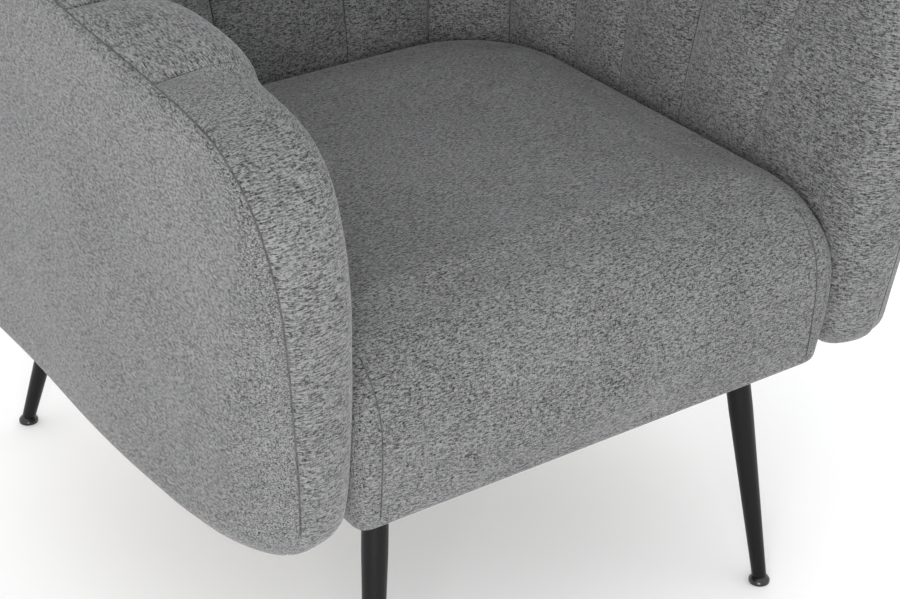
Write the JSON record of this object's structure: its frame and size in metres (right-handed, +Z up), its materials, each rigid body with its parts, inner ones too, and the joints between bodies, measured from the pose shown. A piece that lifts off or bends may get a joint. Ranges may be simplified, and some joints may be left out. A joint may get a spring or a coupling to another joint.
{
  "type": "upholstered armchair",
  "caption": "Tub armchair with a channelled wraparound back, padded flared arms, a tight waterfall seat and splayed tapered round steel legs on levelling glides.",
  "frame": {"origin": "on the floor under the middle of the chair", "axes": "+Z up, the seat front and the arm fronts face -Y, the back is at +Y, +X is the sitter's left"},
  "size_m": [0.793, 0.8124, 0.806],
  "materials": {
    "cover": "matte",
    "foam": "matte",
    "lining": "matte",
    "timber": "matte",
    "leg_paint": "satin",
    "steel": "satin",
    "spring_steel": "satin",
    "glide_plastic": "gloss",
    "clip_plastic": "matte"
  },
  "bodies": {
    "root": {"arm_base_boards": "timber", "arm_front_pad_left": "cover", "arm_front_pad_right": "cover", "arm_posts_left": "timber", "arm_posts_right": "timber", "arm_top_rails": "timber", "back_base_board": "timber", "back_lower_rail": "timber", "back_posts": "timber", "back_top_rail": "timber", "back_webbing": "lining", "border_back": "cover", "border_left": "cover", "border_right": "cover", "channel_pad_01": "cover", "channel_pad_02": "cover", "channel_pad_03": "cover", "channel_pad_04": "cover", "channel_pad_05": "cover", "channel_pad_06": "cover", "channel_pad_07": "cover", "channel_pad_08": "cover", "channel_pad_09": "cover", "channel_pad_10": "cover", "channel_pad_11": "cover", "channel_pad_12": "cover", "channel_pad_13": "cover", "dust_cover": "lining", "filling_back": "foam", "filling_left": "foam", "filling_right": "foam", "front_leg_blocks": "timber", "joining_plates": "steel", "leg_front_left": "leg_paint", "leg_front_right": "leg_paint", "leg_inserts": "steel", "leg_plates": "leg_paint", "leg_rear_left": "leg_paint", "leg_rear_right": "leg_paint", "outside_panel_back": "cover", "outside_panel_left": "cover", "outside_panel_right": "cover", "seat_corner_rails": "timber", "seat_cover": "cover", "seat_foam": "foam", "seat_front_rail": "timber", "seat_rear_rail": "timber", "seat_side_rails": "timber", "seat_springs": "spring_steel", "spring_clips": "clip_plastic", "wood_screws": "steel"},
    "glide_front_left": {"glide_foot_front_left": "glide_plastic", "glide_stud_front_left": "steel"},
    "glide_front_right": {"glide_foot_front_right": "glide_plastic", "glide_stud_front_right": "steel"},
    "glide_rear_left": {"glide_foot_rear_left": "glide_plastic", "glide_stud_rear_left": "steel"},
    "glide_rear_right": {"glide_foot_rear_right": "glide_plastic", "glide_stud_rear_right": "steel"}
  },
  "joints": [
    {"name": "glide_front_left_screw", "type": "slide", "parent": "root", "child": "glide_front_left", "axis": [-0.106, -0.1224, -0.9868], "range_m": [0, 0.01]},
    {"name": "glide_front_right_screw", "type": "slide", "parent": "root", "child": "glide_front_right", "axis": [0.106, -0.1224, -0.9868], "range_m": [0, 0.01]},
    {"name": "glide_rear_left_screw", "type": "slide", "parent": "root", "child": "glide_rear_left", "axis": [-0.1468, 0.2958, -0.9439], "range_m": [0, 0.01]},
    {"name": "glide_rear_right_screw", "type": "slide", "parent": "root", "child": "glide_rear_right", "axis": [0.1468, 0.2958, -0.9439], "range_m": [0, 0.01]}
  ]
}
